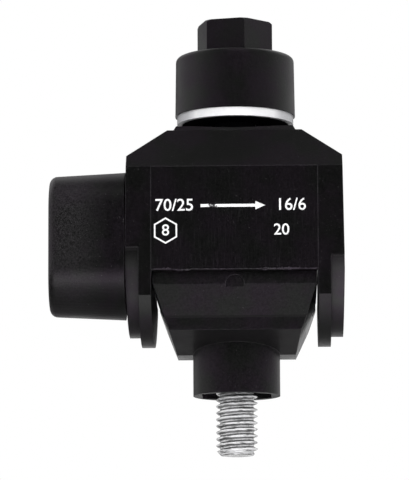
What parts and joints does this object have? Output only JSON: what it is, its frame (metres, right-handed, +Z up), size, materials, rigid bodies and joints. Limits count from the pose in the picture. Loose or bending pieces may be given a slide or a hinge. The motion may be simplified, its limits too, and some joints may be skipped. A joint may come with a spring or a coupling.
{
  "type": "insulation piercing connector",
  "caption": "Clamp connector that joins a branch cable to an insulated overhead line by toothed blades, drawn together by a shear head bolt, with a blind cap over the branch end.",
  "frame": {"origin": "middle of the main conductor's axis in the upper jaw's groove", "axes": "+X along the conductors towards the open branch end, +Y away from the marked front wall, +Z up the bolt towards its head"},
  "size_m": [0.0554, 0.0455, 0.0837],
  "materials": {
    "body_plastic": "fine moulded grain, near black",
    "cap_plastic": "smooth moulded, near black",
    "end_cap_plastic": "semi matte moulded, near black",
    "zinc_steel": "bright zinc plated",
    "tinned_blade": "tinned copper",
    "seal_rubber": "soft elastomer, dark grey"
  },
  "bodies": {
    "upper": {"upper_body": "body_plastic", "upper_blade_left": "tinned_blade", "upper_blade_right": "tinned_blade", "upper_main_seal": "seal_rubber", "upper_tap_seal": "seal_rubber"},
    "washer": {"washer": "zinc_steel"},
    "bolt": {"shear_cap": "cap_plastic", "clamp_bolt": "zinc_steel"},
    "lower_jaw": {"lower_body": "body_plastic", "nut": "zinc_steel", "lower_blade_left": "tinned_blade", "lower_blade_right": "tinned_blade", "lower_main_seal": "seal_rubber", "lower_tap_seal": "seal_rubber"},
    "end_cap": {"end_cap": "end_cap_plastic"}
  },
  "joints": [
    {"name": "bolt_lift", "type": "slide", "parent": "upper", "child": "washer", "axis": [0, 0, 1], "range_m": [-0.0022, 0]},
    {"name": "bolt_turn", "type": "hinge", "parent": "washer", "child": "bolt", "pos_m": [0, -0.0155, 0], "axis": [0, 0, -1], "range_deg": [-4033, 2593]},
    {"name": "jaw_slide", "type": "slide", "parent": "washer", "child": "lower_jaw", "axis": [0, 0, 1], "range_m": [-0.014, 0.009]},
    {"name": "end_cap_pull", "type": "slide", "parent": "upper", "child": "end_cap", "axis": [-1, 0, 0], "range_m": [0, 0.02]}
  ],
  "couplings": [
    {"joint": "bolt_turn", "follows": "jaw_slide", "rad_per_m": 5026.5}
  ]
}
